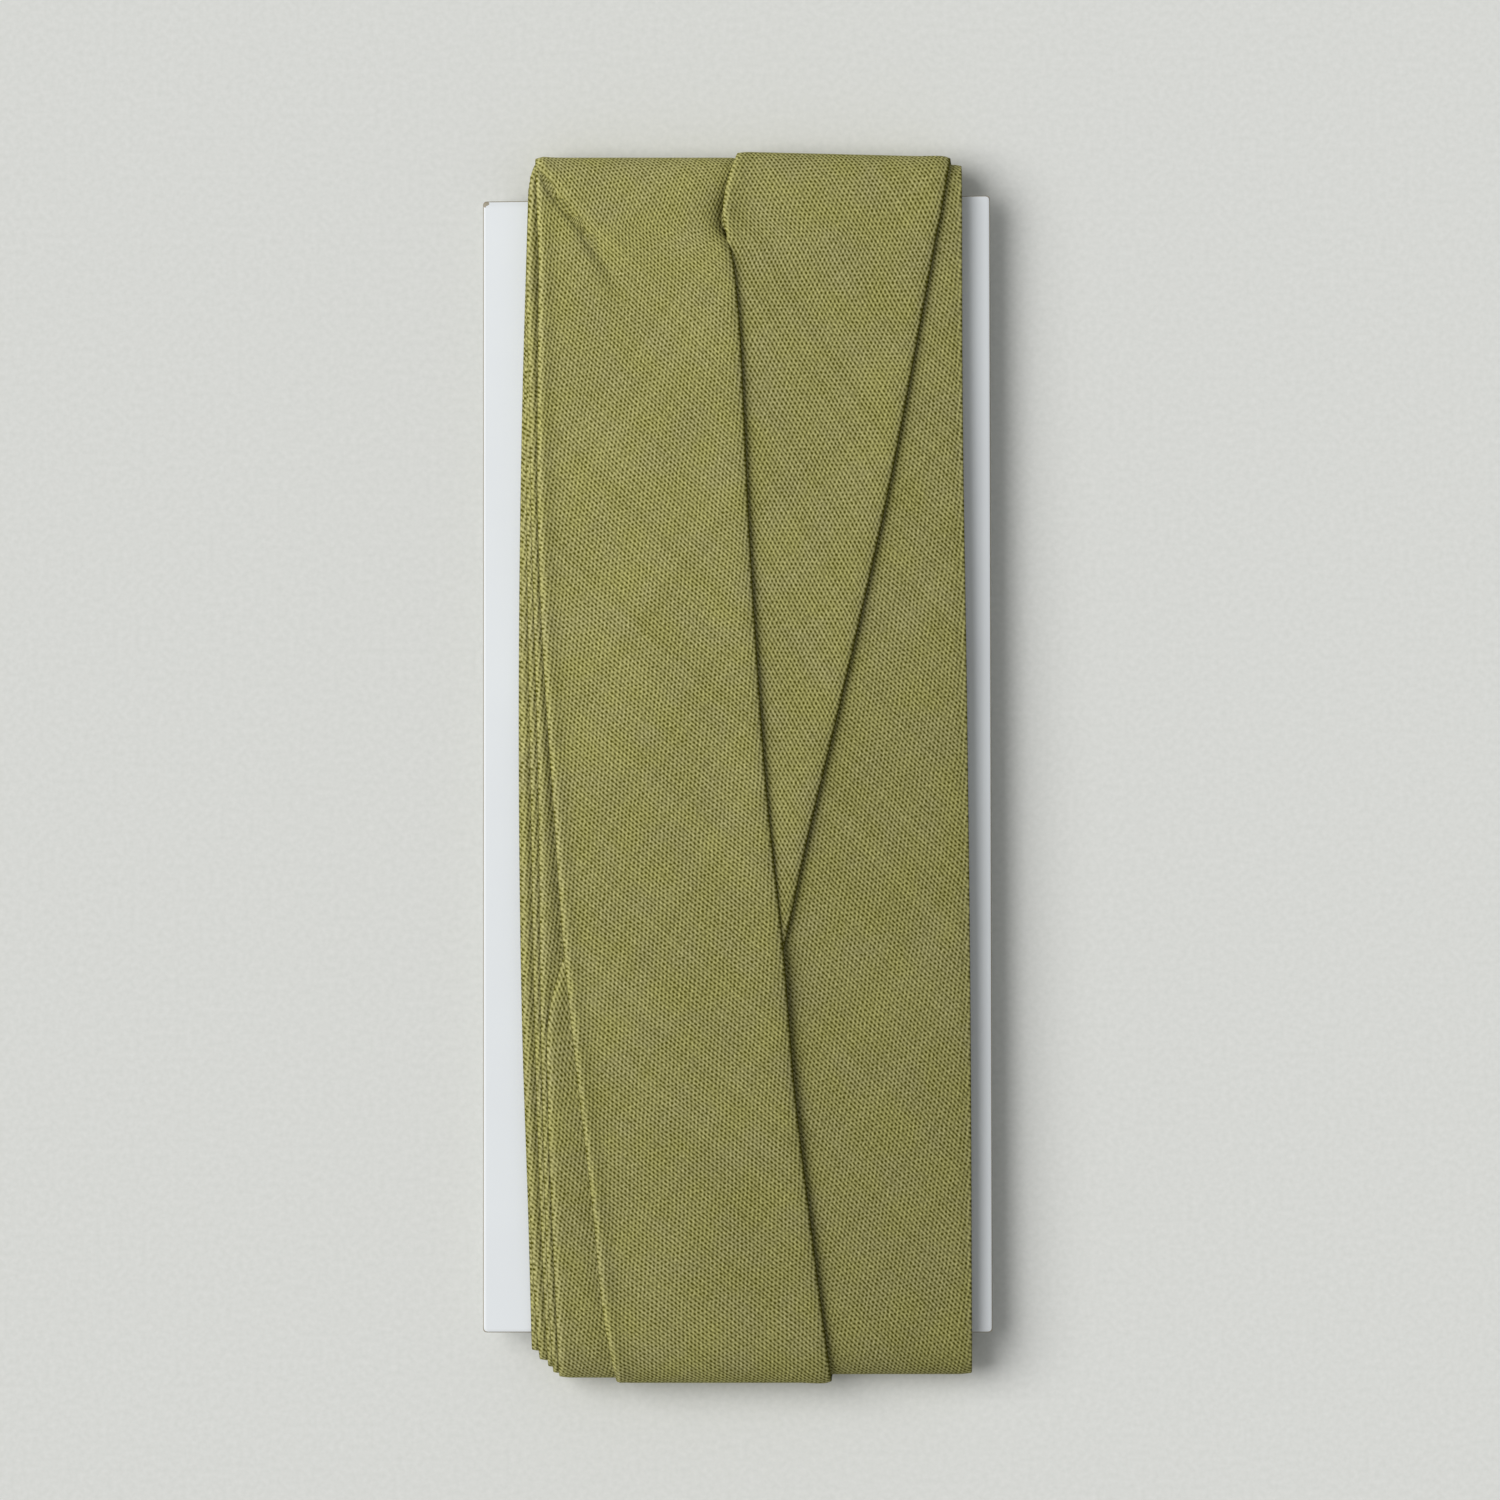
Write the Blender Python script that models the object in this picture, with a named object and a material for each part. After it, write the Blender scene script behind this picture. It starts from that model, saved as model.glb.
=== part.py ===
"""Bias binding wound flat on a card: one long strip of folded cotton and the board that carries it.

Sizes are in millimetres, in a frame with X across the card, Y along it and Z up from the surface
that the part lies on. They become metres when a mesh is made.
"""

import math
from collections import namedtuple

import bmesh
import bpy

METRES_PER_MM = 0.001

# The tape, and how its turns pile up on each side of the card.
TAPE_WIDTH = 25.0
TURN_THICKNESS = 0.75
BACK_TURNS = 5
PILE_TURNS = 4

# The card, and the clearance that the slot through the winding keeps to it.
CARD_THICKNESS = 0.6
CARD_CLEARANCE = 0.3
CARD_LEFT = -29.8
CARD_RIGHT_AT_TOP = 29.5
CARD_RIGHT_AT_BOTTOM = 29.8
CARD_TOP_AT_LEFT = 66.2
CARD_TOP_AT_RIGHT = 66.9
CARD_BOTTOM = -66.1

CARD_UNDERSIDE = BACK_TURNS * TURN_THICKNESS + CARD_CLEARANCE
CARD_FACE = CARD_UNDERSIDE + CARD_THICKNESS
CARD_MIDDLE = (CARD_UNDERSIDE + CARD_FACE) / 2
FRONT_START = CARD_FACE + CARD_CLEARANCE

# Meshing of a strip: how finely it follows its plan, its end folds and its folded edges.
PLAN_STEP = 6.0
FOLD_STEPS = 7
FOLD_TIP_ANGLE = math.radians(14)
EDGE_RADIUS = 0.35
EDGE_STEPS = 2
CROWN_STEPS = 4

# A row across a strip: how far along the card it is, where the strip's two edges are, and how
# many turns lie between the card and the top of the strip at each edge.
Row = namedtuple("Row", "along left right turns_left turns_right")
# A strip: its rows from the top fold down, how far its ends lean, and how deep its back lies.
Strip = namedtuple("Strip", "name rows top_lean bottom_lean back_height")

# The left pile fans out: each turn lies a little right of the one below it and reaches further down.
PILE_GAP_LEFT_EDGE = -0.2
GAP_EDGE_STEP = 0.3
LEFT_FAN = (
    Strip("left_first_turn", (
        Row(69.4, -24.7, PILE_GAP_LEFT_EDGE, 1, 1),
        Row(38.3, -25.3, PILE_GAP_LEFT_EDGE, 1, 1),
        Row(-3.8, -25.6, PILE_GAP_LEFT_EDGE, 1, 1),
        Row(-31.8, -25.2, PILE_GAP_LEFT_EDGE, 1, 1),
        Row(-52.9, -24.5, PILE_GAP_LEFT_EDGE, 1, 1),
        Row(-68.2, -24.1, PILE_GAP_LEFT_EDGE, 1, 1),
    ), 0.0, 0.0, 3 * TURN_THICKNESS),
    Strip("left_second_turn", (
        Row(69.5, -24.6, PILE_GAP_LEFT_EDGE - GAP_EDGE_STEP, 2, 2),
        Row(38.3, -25.1, PILE_GAP_LEFT_EDGE - GAP_EDGE_STEP, 2, 2),
        Row(-3.8, -25.4, PILE_GAP_LEFT_EDGE - GAP_EDGE_STEP, 2, 2),
        Row(-36.5, -24.9, PILE_GAP_LEFT_EDGE - GAP_EDGE_STEP, 2, 2),
        Row(-64.5, -23.6, PILE_GAP_LEFT_EDGE - GAP_EDGE_STEP, 2, 2),
        Row(-69.4, -23.2, PILE_GAP_LEFT_EDGE - GAP_EDGE_STEP, 2, 2),
    ), 0.0, 0.0, 2 * TURN_THICKNESS),
    Strip("left_third_turn", (
        Row(69.7, -24.4, PILE_GAP_LEFT_EDGE - 2 * GAP_EDGE_STEP, 3, 3),
        Row(38.3, -24.7, PILE_GAP_LEFT_EDGE - 2 * GAP_EDGE_STEP, 3, 3),
        Row(-3.8, -24.2, PILE_GAP_LEFT_EDGE - 2 * GAP_EDGE_STEP, 3, 3),
        Row(-36.5, -23.6, PILE_GAP_LEFT_EDGE - 2 * GAP_EDGE_STEP, 3, 3),
        Row(-64.5, -22.5, PILE_GAP_LEFT_EDGE - 2 * GAP_EDGE_STEP, 3, 3),
        Row(-70.2, -22.2, PILE_GAP_LEFT_EDGE - 2 * GAP_EDGE_STEP, 3, 3),
    ), 0.0, 0.0, TURN_THICKNESS),
    Strip("left_outer_turn", (
        Row(69.9, -24.2, PILE_GAP_LEFT_EDGE - 3 * GAP_EDGE_STEP, 4, 4),
        Row(38.3, -24.3, PILE_GAP_LEFT_EDGE - 3 * GAP_EDGE_STEP, 4, 4),
        Row(-3.8, -23.3, PILE_GAP_LEFT_EDGE - 3 * GAP_EDGE_STEP, 4, 4),
        Row(-36.5, -22.9, PILE_GAP_LEFT_EDGE - 3 * GAP_EDGE_STEP, 4, 4),
        Row(-64.5, -22.0, PILE_GAP_LEFT_EDGE - 3 * GAP_EDGE_STEP, 4, 4),
        Row(-70.9, -21.6, PILE_GAP_LEFT_EDGE - 3 * GAP_EDGE_STEP, 4, 4),
    ), 0.0, 0.0, 0.0),
)

RIGHT_PILE = Strip("right_pile", (
    Row(70.4, 1.2, 26.2, PILE_TURNS, PILE_TURNS),
    Row(42.9, 1.2, 26.3, PILE_TURNS, PILE_TURNS),
    Row(7.9, 1.9, 26.8, PILE_TURNS, PILE_TURNS),
    Row(-27.2, 2.2, 27.2, PILE_TURNS, PILE_TURNS),
    Row(-70.9, 2.4, 27.4, PILE_TURNS, PILE_TURNS),
), 0.0, 0.0, 0.0)

# The two crossing passes stop just short of the flat back, inside the piles' own turns there.
CROSSING_BACK_HEIGHT = 0.4
LAST_BACK_HEIGHT = 0.6

# From the top right to the bottom left. Its left edge laps over the last pass at the top.
CROSSING_PASS = Strip("crossing_pass", (
    Row(71.6, -0.2, 24.9, 6.0, 5.0),
    Row(64.5, -1.7, 23.7, 5.8, 5.0),
    Row(57.0, -3.1, 22.3, 5.0, 5.0),
    Row(31.2, -8.1, 17.4, 5.0, 5.0),
    Row(7.9, -13.5, 12.1, 5.0, 5.0),
    Row(-9.6, -17.5, 7.9, 5.0, 5.0),
    Row(-20.7, -20.0, 5.5, 5.0, 5.0),
    Row(-28.3, -22.0, 3.5, 5.0, 5.0),
    Row(-38.8, -22.2, 3.0, 5.0, 5.0),
    Row(-50.5, -21.8, 3.3, 5.0, 5.0),
    Row(-71.3, -20.9, 4.1, 5.0, 5.0),
), -0.6, 0.0, CROSSING_BACK_HEIGHT)

# From the top left to the bottom middle, over all the others.
LAST_PASS = Strip("last_pass", (
    Row(71.2, -23.7, 0.4, 5.0, 5.0),
    Row(62.8, -23.4, -1.4, 5.0, 5.1),
    Row(54.6, -23.4, -0.1, 5.0, 6.0),
    Row(31.2, -23.4, 1.2, 5.0, 6.0),
    Row(-3.8, -21.6, 3.5, 5.1, 6.0),
    Row(-20.7, -20.4, 5.3, 5.9, 6.0),
    Row(-38.8, -18.6, 6.8, 6.0, 5.3),
    Row(-50.5, -17.1, 8.2, 6.0, 5.1),
    Row(-66.1, -15.4, 10.2, 6.0, 5.1),
    Row(-71.9, -14.2, 11.0, 6.0, 5.1),
), 0.0, 0.0, LAST_BACK_HEIGHT)


def clear_scene():
    for old in list(bpy.data.objects):
        bpy.data.objects.remove(old, do_unlink=True)


def plain_material(name, colour, roughness):
    material = bpy.data.materials.new(name)
    material.use_nodes = True
    shader = material.node_tree.nodes["Principled BSDF"]
    shader.inputs["Base Color"].default_value = (*colour, 1.0)
    shader.inputs["Roughness"].default_value = roughness
    shader.inputs["Metallic"].default_value = 0.0
    return material


def closed_mesh_object(name, rings, material):
    """Joins rings of points, each in the same order, into one closed body with a cap at each end."""
    shape = bmesh.new()
    loops = []
    for ring in rings:
        loops.append([shape.verts.new([METRES_PER_MM * value for value in point]) for point in ring])
    count = len(loops[0])
    for lower, upper in zip(loops, loops[1:]):
        for i in range(count):
            j = (i + 1) % count
            shape.faces.new((lower[i], lower[j], upper[j], upper[i]))
    shape.faces.new(loops[0])
    shape.faces.new(loops[-1])
    bmesh.ops.recalc_face_normals(shape, faces=shape.faces)
    bmesh.ops.triangulate(shape, faces=shape.faces)
    mesh = bpy.data.meshes.new(name)
    shape.to_mesh(mesh)
    shape.free()
    mesh.shade_smooth()
    mesh.set_sharp_from_angle(angle=math.radians(35))
    mesh.materials.append(material)
    made = bpy.data.objects.new(name, mesh)
    bpy.context.collection.objects.link(made)
    return made


def smooth_value(rows, column, along):
    """The value of a column at any place along the card, on a smooth curve through the rows."""
    places = [row.along for row in rows]
    values = [getattr(row, column) for row in rows]
    along = min(max(along, places[-1]), places[0])
    last = len(rows) - 1
    i = next(k for k in range(last) if along >= places[k + 1])

    def slope(k):
        before = max(k - 1, 0)
        after = min(k + 1, last)
        return (values[after] - values[before]) / (places[after] - places[before])

    span = places[i + 1] - places[i]
    t = (along - places[i]) / span
    start = (1 + 2 * t) * (1 - t) ** 2 * values[i] + t * (1 - t) ** 2 * span * slope(i)
    end = t * t * (3 - 2 * t) * values[i + 1] + t * t * (t - 1) * span * slope(i + 1)
    return start + end


def lengthwise_stations(strip):
    """Places along a strip, each with how much of its full height is left and how far it leans."""
    top = strip.rows[0].along
    bottom = strip.rows[-1].along
    top_straight = CARD_TOP_AT_LEFT - CARD_CLEARANCE
    bottom_straight = CARD_BOTTOM + CARD_CLEARANCE
    angles = [FOLD_TIP_ANGLE + (math.pi / 2 - FOLD_TIP_ANGLE) * k / FOLD_STEPS for k in range(FOLD_STEPS + 1)]
    stations = []
    for angle in angles:
        along = top_straight + (top - top_straight) * math.cos(angle) / math.cos(FOLD_TIP_ANGLE)
        stations.append((along, math.sin(angle), strip.top_lean * math.cos(angle)))
    pieces = round((top_straight - bottom_straight) / PLAN_STEP)
    for k in range(1, pieces):
        stations.append((top_straight + (bottom_straight - top_straight) * k / pieces, 1.0, 0.0))
    for angle in reversed(angles):
        along = bottom_straight + (bottom - bottom_straight) * math.cos(angle) / math.cos(FOLD_TIP_ANGLE)
        stations.append((along, math.sin(angle), strip.bottom_lean * math.cos(angle)))
    return stations


def strip_ring(strip, along, fullness, lean):
    """One section across a strip, from its left folded edge over the top to the right one and back."""
    left = smooth_value(strip.rows, "left", along)
    right = smooth_value(strip.rows, "right", along)
    turns_left = smooth_value(strip.rows, "turns_left", along)
    turns_right = smooth_value(strip.rows, "turns_right", along)

    def top_height(share):
        full = FRONT_START + TURN_THICKNESS * (turns_left + (turns_right - turns_left) * share)
        return CARD_MIDDLE + (full - CARD_MIDDLE) * fullness

    back = CARD_MIDDLE + (strip.back_height - CARD_MIDDLE) * fullness
    radius = EDGE_RADIUS * fullness
    section = [(left, back)]
    for k in range(EDGE_STEPS + 1):
        angle = math.pi / 2 * k / EDGE_STEPS
        section.append((left + radius * (1 - math.cos(angle)), top_height(0) - radius * (1 - math.sin(angle))))
    for k in range(1, CROWN_STEPS):
        share = k / CROWN_STEPS
        section.append((left + (right - left) * share, top_height(share)))
    for k in range(EDGE_STEPS, -1, -1):
        angle = math.pi / 2 * k / EDGE_STEPS
        section.append((right - radius * (1 - math.cos(angle)), top_height(1) - radius * (1 - math.sin(angle))))
    section.append((right, back))
    middle = (left + right) / 2
    return [(x, along + lean * (x - middle) / TAPE_WIDTH, z) for x, z in section]


def make_strip(strip, material):
    rings = [strip_ring(strip, along, fullness, lean) for along, fullness, lean in lengthwise_stations(strip)]
    return closed_mesh_object(strip.name, rings, material)


def make_card(name, material, clearance=0.0, overhang=0.0):
    """The board by its four measured corners, or with a clearance the space that it needs."""
    corners = (
        (CARD_LEFT - overhang, CARD_BOTTOM - clearance),
        (CARD_RIGHT_AT_BOTTOM + overhang, CARD_BOTTOM - clearance),
        (CARD_RIGHT_AT_TOP + overhang, CARD_TOP_AT_RIGHT + clearance),
        (CARD_LEFT - overhang, CARD_TOP_AT_LEFT + clearance),
    )
    heights = (CARD_UNDERSIDE - clearance, CARD_FACE + clearance)
    return closed_mesh_object(name, [[(x, y, z) for x, y in corners] for z in heights], material)


def as_tool(helper):
    helper.hide_render = True
    helper.display_type = "WIRE"


def combine(body, helper, operation):
    as_tool(helper)
    step = body.modifiers.new(helper.name, "BOOLEAN")
    step.operation = operation
    step.solver = "EXACT"
    step.object = helper


def make_binding(material):
    """The whole winding as one solid: both piles, the two passes that cross them, and the slot."""
    binding = make_strip(RIGHT_PILE, material)
    binding.name = "binding"
    for strip in (*LEFT_FAN, CROSSING_PASS, LAST_PASS):
        combine(binding, make_strip(strip, material), "UNION")
    slot = make_card("card_slot", material, CARD_CLEARANCE, overhang=2.0)
    combine(binding, slot, "DIFFERENCE")
    return binding


def main():
    clear_scene()
    cotton = plain_material("olive_cotton", (0.27, 0.25, 0.09), 0.9)
    board = plain_material("white_board", (0.76, 0.78, 0.80), 0.6)
    make_card("card", board)
    make_binding(cotton)


main()
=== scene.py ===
"""Wide cotton bias binding wound flat on a white card, seen from straight above.

Shapes are worked out in millimetres, in the part's own frame: X across the card, Y along it, Z up.
They become metres when a mesh is made.
"""

import math
from collections import namedtuple

import bpy
import numpy as np
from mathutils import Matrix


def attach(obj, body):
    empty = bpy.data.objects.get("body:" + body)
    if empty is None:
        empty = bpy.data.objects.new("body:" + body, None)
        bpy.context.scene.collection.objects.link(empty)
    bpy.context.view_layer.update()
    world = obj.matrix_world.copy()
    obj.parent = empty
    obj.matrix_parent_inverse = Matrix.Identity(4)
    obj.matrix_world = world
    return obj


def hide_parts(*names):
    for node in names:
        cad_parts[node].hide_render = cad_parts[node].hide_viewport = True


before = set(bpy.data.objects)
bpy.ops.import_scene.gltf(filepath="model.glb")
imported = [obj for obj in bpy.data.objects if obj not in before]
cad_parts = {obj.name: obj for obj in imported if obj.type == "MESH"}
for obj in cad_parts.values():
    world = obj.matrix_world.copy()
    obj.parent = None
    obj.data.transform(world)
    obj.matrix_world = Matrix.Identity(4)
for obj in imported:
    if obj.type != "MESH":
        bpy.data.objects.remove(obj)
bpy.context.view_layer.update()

METRES_PER_MM = 0.001

# The tape: a strip cut on the bias, its two raw edges folded under towards the middle.
TAPE_WIDTH = 25.0
PLY_THICKNESS = 0.22
TAPE_THICKNESS = 0.6
FLAP_GAP = 4.0
# The face drops over the last stretch before a folded edge. Under 1, the squareness makes the
# pressed edge squarer than round.
EDGE_DROP = 0.12
EDGE_DROP_WIDTH = 1.4
EDGE_RADIUS = (TAPE_THICKNESS - EDGE_DROP) / 2
EDGE_SQUARENESS = 0.7
HALF_WIDTH = TAPE_WIDTH / 2
FLAP_WIDTH = HALF_WIDTH - FLAP_GAP / 2

# How the turns pile up: the room that each takes with its air, the heights of the card's faces, and
# the air between the card and the cloth.
TURN_PITCH = 0.75
CARD_THICKNESS = 0.6
CARD_UNDERSIDE = 4.05
CARD_FACE = CARD_UNDERSIDE + CARD_THICKNESS
CARD_AIR = 0.15
FRONT_START = CARD_FACE + CARD_AIR
BACK_DEPTH = CARD_UNDERSIDE - CARD_AIR

# Where the passes leave the flat and turn round the card's ends.
TOP_TURN = 65.9
BOTTOM_TURN = -65.8

# A row across a pass: its place along the card and where its two folded edges lie.
Row = namedtuple("Row", "along left right")
# A pass over the card's face: its rows from the top fold to the bottom one, how much further its
# top fold reaches at the left than at the right, and the spacing of the sections along it. Some have
# a stretch at the top, down to a place along the card, with a finer spacing.
Front = namedtuple("Front", "name rows top_lean spacing fine_down_to fine_spacing", defaults=(None, None))


def full_width(*rows):
    """Rows that give only the left edge: the right one is a tape's width away."""
    return tuple(Row(along, left, left + TAPE_WIDTH) for along, left in rows)


# The left pile fans out towards the bottom. Its upper turns are pressed down by the tuck, and have
# fine sections down to a place below it.
BELOW_TUCK = 58.0
LEFT_PILE = (
    Front("left_first_turn", full_width(
        (68.0, -24.5), (38.3, -25.3), (-3.8, -25.6), (-31.8, -25.2), (-52.9, -24.5), (-68.3, -24.1),
    ), top_lean=0.0, spacing=5.0),
    Front("left_second_turn", full_width(
        (68.7, -24.4), (38.3, -25.1), (-3.8, -25.4), (-36.5, -24.9), (-64.5, -23.6), (-69.4, -23.2),
    ), top_lean=0.0, spacing=5.0),
    Front("left_third_turn", full_width(
        (69.4, -24.3), (38.3, -24.7), (-3.8, -24.2), (-36.5, -23.6), (-64.5, -22.5), (-70.2, -22.2),
    ), top_lean=0.0, spacing=5.0, fine_down_to=BELOW_TUCK, fine_spacing=1.1),
    Front("left_outer_turn", full_width(
        (70.6, -23.8), (69.3, -24.2), (67.5, -24.35), (38.3, -24.3), (-3.8, -23.3), (-36.5, -22.9),
        (-64.5, -22.0), (-70.9, -21.6),
    ), top_lean=0.0, spacing=3.0, fine_down_to=BELOW_TUCK, fine_spacing=1.1),
)

# The right pile's turns lie almost edge on edge, each with an inset of its own at the left and right,
# and each reaches a little further than the last at the card's ends.
RIGHT_OUTER_ROWS = full_width((70.55, 1.2), (42.9, 1.3), (7.9, 1.8), (-27.2, 2.2), (-71.0, 2.4))
RIGHT_PILE_STEP = 0.7
RIGHT_PILE_INSETS = (0.35, 0.15, 0.28, 0.0)
RIGHT_PILE_SPACINGS = (8.0, 8.0, 8.0, 2.0)

# From the top right to the bottom left, over both piles. Its left edge shows at the top, down to the
# tuck, and again at the lower left.
CROSSING_PASS = Front("crossing_pass", (
    Row(71.75, -0.1, 24.9),
    Row(69.3, -1.0, 24.5),
    Row(64.9, -1.75, 23.8),
    Row(63.4, -1.6, 23.5),
    Row(62.0, -1.3, 23.2),
    Row(60.5, -1.7, 22.95),
    Row(57.0, -3.1, 22.3),
    Row(31.2, -8.1, 17.4),
    Row(7.9, -13.5, 12.1),
    Row(-9.6, -17.5, 7.9),
    Row(-20.7, -20.0, 5.5),
    Row(-28.3, -22.0, 3.6),
    Row(-38.8, -22.2, 3.0),
    Row(-50.5, -21.8, 3.4),
    Row(-71.4, -20.9, 4.1),
), top_lean=0.6, spacing=1.5, fine_down_to=60.0, fine_spacing=0.6)

# From the top left to the bottom middle, over all the others but for one corner at the top. A crease
# runs into it from its top left corner, down to a foot.
CREASE_FOOT = 52.5
LAST_PASS = Front("last_pass", (
    Row(71.35, -23.7, 0.3),
    Row(66.2, -23.5, -0.9),
    Row(63.0, -23.4, -1.5),
    Row(60.5, -23.3, -0.8),
    Row(54.6, -23.3, 0.0),
    Row(42.9, -23.4, 0.7),
    Row(31.2, -23.4, 1.2),
    Row(14.0, -22.8, 2.2),
    Row(-3.8, -21.6, 3.5),
    Row(-20.7, -20.4, 5.3),
    Row(-38.8, -18.5, 6.8),
    Row(-50.5, -17.1, 8.2),
    Row(-66.1, -15.4, 10.2),
    Row(-72.0, -14.2, 11.0),
), top_lean=0.0, spacing=1.2, fine_down_to=CREASE_FOOT, fine_spacing=0.45)

# The stretch in which the last pass comes out from under the crossing pass and climbs over it.
CLIMB = (64.4, 61.4)

# Hollows pressed into the last pass, from the top down: where their middle lies, how deep they are
# and how far they spread to a side.
Hollow = namedtuple("Hollow", "along across depth width")
CREASE = (
    Hollow(70.8, -23.45, 0.3, 0.24),
    Hollow(69.4, -23.05, 0.65, 0.28),
    Hollow(67.9, -22.35, 0.9, 0.34),
    Hollow(64.8, -19.75, 1.1, 0.46),
    Hollow(62.6, -17.9, 1.15, 0.6),
    Hollow(60.9, -16.8, 0.95, 0.75),
    Hollow(57.9, -15.0, 0.55, 0.95),
    Hollow(55.7, -13.9, 0.25, 1.1),
    Hollow(CREASE_FOOT, -12.9, 0.0, 1.2),
)
# It is steep on the left, and spreads this many times as far to the right.
CREASE_GENTLE_SIDE = 2.4
# The cloth stands a little higher on both sides of it, by this share of its depth.
CREASE_SWELL = 0.45
CREASE_SWELL_WIDTH = 4.0
# The mesh's columns gather on it, within a width, but not at the folded edge itself.
CREASE_GATHER = 0.78
CREASE_GATHER_WIDTH = 2.0
CREASE_GATHER_INSIDE = (0.3, 1.2)
# The tuck: a steep valley down to where the last pass dives under the crossing pass.
TUCK = (
    Hollow(72.0, -0.2, 0.25, 0.9),
    Hollow(70.5, -0.4, 0.5, 1.0),
    Hollow(69.3, -0.8, 0.8, 1.1),
    Hollow(67.0, -1.2, 1.3, 1.2),
    Hollow(64.8, -1.5, 1.9, 1.3),
    Hollow(63.4, -1.6, 2.0, 1.2),
    Hollow(62.0, -1.3, 1.4, 1.0),
    Hollow(61.2, -1.1, 0.7, 0.9),
    Hollow(60.2, -0.9, 0.3, 0.8),
    Hollow(58.8, -0.6, 0.0, 0.6),
)

# Left edges spring up into a soft ridge: how high it is, how far inside the edge it stands, and how
# far it spreads outwards and inwards.
Ridge = namedtuple("Ridge", "height inside outwards inwards")
LAST_PASS_RIDGE = Ridge(0.42, 0.42, 0.42, 1.1)
CROSSING_RIDGE = Ridge(0.22, 0.35, 0.35, 1.2)
# Those of the left pile, from the first turn to the outer one, arch down to the next edge over them.
# Where that edge is near, the arch is short, and lower.
LEFT_PILE_HEIGHTS = (0.36, 0.38, 0.46, 0.6)
LEFT_PILE_INSIDE = 0.35
LEFT_PILE_OUTWARDS = 0.42
LEFT_PILE_FALL = (0.45, 3.0)
LEFT_PILE_FULL_FALL = 1.2
LEFT_PILE_LOWEST_SHARE = 0.5
# The last pass presses a shallow dent into the crossing pass, beside its own left edge.
DENT_DEPTH = 0.22
DENT_WIDTH = 1.3
# The stretches over which the crossing pass shows its left edge: at the top, and near the bottom.
CROSSING_SHOWS_ABOVE = (60.0, 64.0)
CROSSING_SHOWS_BELOW = (-20.0, -28.0)
# The crossing pass and the last one curl up towards the right and roll over at the very edge. The
# right pile's outer turn only rolls over, gently.
RIGHT_CURL = 0.5
RIGHT_CURL_WIDTH = 4.5
RIGHT_ROLL = 0.32
RIGHT_ROLL_WIDTH = 0.85
# The stretch over which the crossing pass loses its curl, once the last pass presses on it.
CROSSING_PRESSED_FLAT = (-22.0, -27.0)
PILE_ROLL = 0.12
PILE_ROLL_WIDTH = 1.5

# A pass behind the card: the passes over the face that it joins, and how far it bows sideways. The
# two last whole ones bow apart, so that their order can change between the folds.
Back = namedtuple("Back", "below above bow")
BACK_BOWS = {CROSSING_PASS.name: 1.6, LAST_PASS.name: -2.0}
# Where the tape starts behind the card, and how much of it is left after the last fold.
TAPE_START_ALONG = -8.0
TAIL_LENGTH = 38.0
# It takes this length to lose the lean that it came round a fold with.
LEAN_FADE = 12.0

# The grid of heights on which a pass is laid over the edges of others. Over an edge a tape bends
# softly: it is lifted as far as a reach beside it, and comes down over a few times its softness.
GRID_STEP = 0.4
GRID_X = np.arange(-34.0, 34.0 + GRID_STEP / 2, GRID_STEP)
GRID_Y = np.arange(-68.0, 68.0 + GRID_STEP / 2, GRID_STEP)
Drape = namedtuple("Drape", "reach softness")
LAST_OVER_CROSSING = Drape(3.6, 3.6)
CROSSING_OVER_LAST = Drape(0.8, 1.3)
BEHIND_CARD = Drape(1.2, 0.9)

# The piles are pressed flatter towards the card's ends and sides.
SQUEEZE_AT_ENDS = 0.1
SQUEEZE_AT_SIDES = 0.06
PILE_HALF_LENGTH = 66.0
PILE_HALF_WIDTH = 26.0

# How finely the tape is meshed: the spacing of the sections behind the card, the columns and steps
# round a section, and the steps round a fold. Passes with a coarse spacing have folds that are hidden.
BACK_SPACING = 8.0
COARSE_SPACING = 3.5
TOP_COLUMNS = 48
EDGE_COLUMNS = 7
EDGE_STEPS = 6
FLAP_COLUMNS = 3
INNER_COLUMNS = 6
INNER_EDGE_STEPS = 2
FOLD_STEPS = 14
CREASED_FOLD_STEPS = 30
HIDDEN_FOLD_STEPS = 10
# The weave's lean is taken from the tape's middle this far ahead and behind.
LEAN_REACH = 9.0
TAPE_SHARP_ANGLE = math.radians(60)
CARD_SHARP_ANGLE = math.radians(50)


def linear(hex_colour):
    """An sRGB hex colour as linear red, green, blue and alpha."""
    parts = [int(hex_colour[i:i + 2], 16) / 255 for i in (1, 3, 5)]
    return (*[c / 12.92 if c <= 0.04045 else ((c + 0.055) / 1.055) ** 2.4 for c in parts], 1.0)


def smoothstep(edge0, edge1, value):
    """A soft step from 0 at the first edge to 1 at the second."""
    t = np.clip((value - edge0) / (edge1 - edge0), 0.0, 1.0)
    return t * t * (3 - 2 * t)


def edge_at(rows, column, along):
    """An edge's place across the card, on a smooth curve through the rows."""
    places = np.array([row.along for row in rows])
    values = np.array([getattr(row, column) for row in rows])
    slopes = np.gradient(values, places)
    along = np.clip(along, places[-1], places[0])
    i = np.clip(np.searchsorted(-places, -along, side="right") - 1, 0, len(rows) - 2)
    span = places[i + 1] - places[i]
    t = (along - places[i]) / span
    start = (1 + 2 * t) * (1 - t) ** 2 * values[i] + t * (1 - t) ** 2 * span * slopes[i]
    end = t * t * (3 - 2 * t) * values[i + 1] + t * t * (t - 1) * span * slopes[i + 1]
    return start + end


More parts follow.
